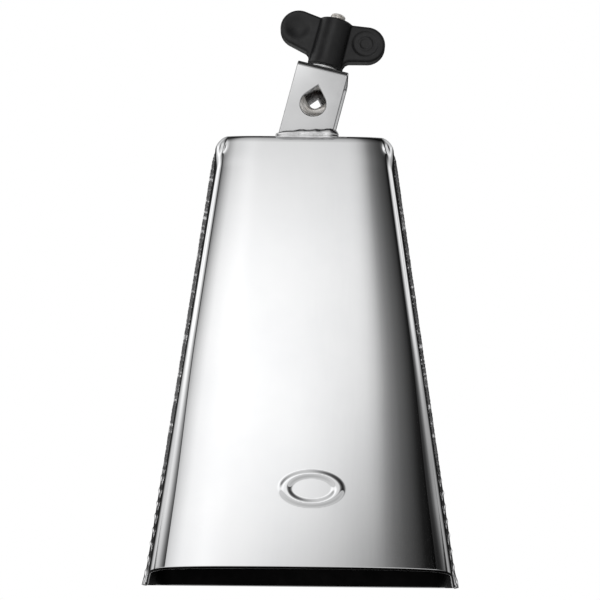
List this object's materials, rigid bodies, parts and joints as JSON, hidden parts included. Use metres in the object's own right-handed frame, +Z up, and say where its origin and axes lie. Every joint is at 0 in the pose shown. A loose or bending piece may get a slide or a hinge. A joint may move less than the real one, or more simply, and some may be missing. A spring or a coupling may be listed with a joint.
{
  "type": "cowbell",
  "caption": "Clapperless chrome-plated cowbell: a folded, seam-welded steel shell with a leaning clamp bracket, eye bolt and black wing nut that grip a mounting rod.",
  "frame": {"origin": "middle of the mouth, at the height of the two seam corners that the bell reaches lowest with", "axes": "+Z up the bell from mouth to crown, -Y out of the front panel, +X the side that the clamp leans to"},
  "size_m": [0.1405, 0.0714, 0.2691],
  "materials": {
    "chrome_shell": "bright chrome plating over rolled sheet steel",
    "chrome_weld": "chrome plating over a rippled weld bead",
    "satin_chrome": "soft chrome plating on a bent strap",
    "nickel_steel": "nickel-plated forged steel",
    "zinc_steel": "bright zinc-plated steel",
    "black_nylon": "black moulded nylon, fine matte skin"
  },
  "bodies": {
    "bell": {"bell_shell": "chrome_shell", "left_seam_weld": "chrome_weld", "right_seam_weld": "chrome_weld", "front_bracket_weld": "chrome_weld", "rear_bracket_weld": "chrome_weld", "mounting_bracket": "satin_chrome"},
    "wing_nut": {"wing_nut": "black_nylon", "wing_nut_insert": "zinc_steel"},
    "eye_bolt": {"eye_bolt": "nickel_steel"},
    "washer": {"washer": "zinc_steel"}
  },
  "joints": [
    {"name": "nut_turn", "type": "hinge", "parent": "bell", "child": "wing_nut", "pos_m": [0.00842, 0, 0.2397], "axis": [0.2419, 0, 0.9703], "range_deg": [0, 2610]},
    {"name": "bolt_drop", "type": "slide", "parent": "bell", "child": "eye_bolt", "axis": [0.2419, 0, 0.9703], "range_m": [-0.0073, 0]},
    {"name": "washer_spin", "type": "hinge", "parent": "bell", "child": "washer", "pos_m": [0.00842, 0, 0.2397], "axis": [0.2419, 0, 0.9703], "continuous": true}
  ],
  "couplings": [
    {"joint": "bolt_drop", "follows": "nut_turn", "m_per_rad": -0.00015915}
  ]
}
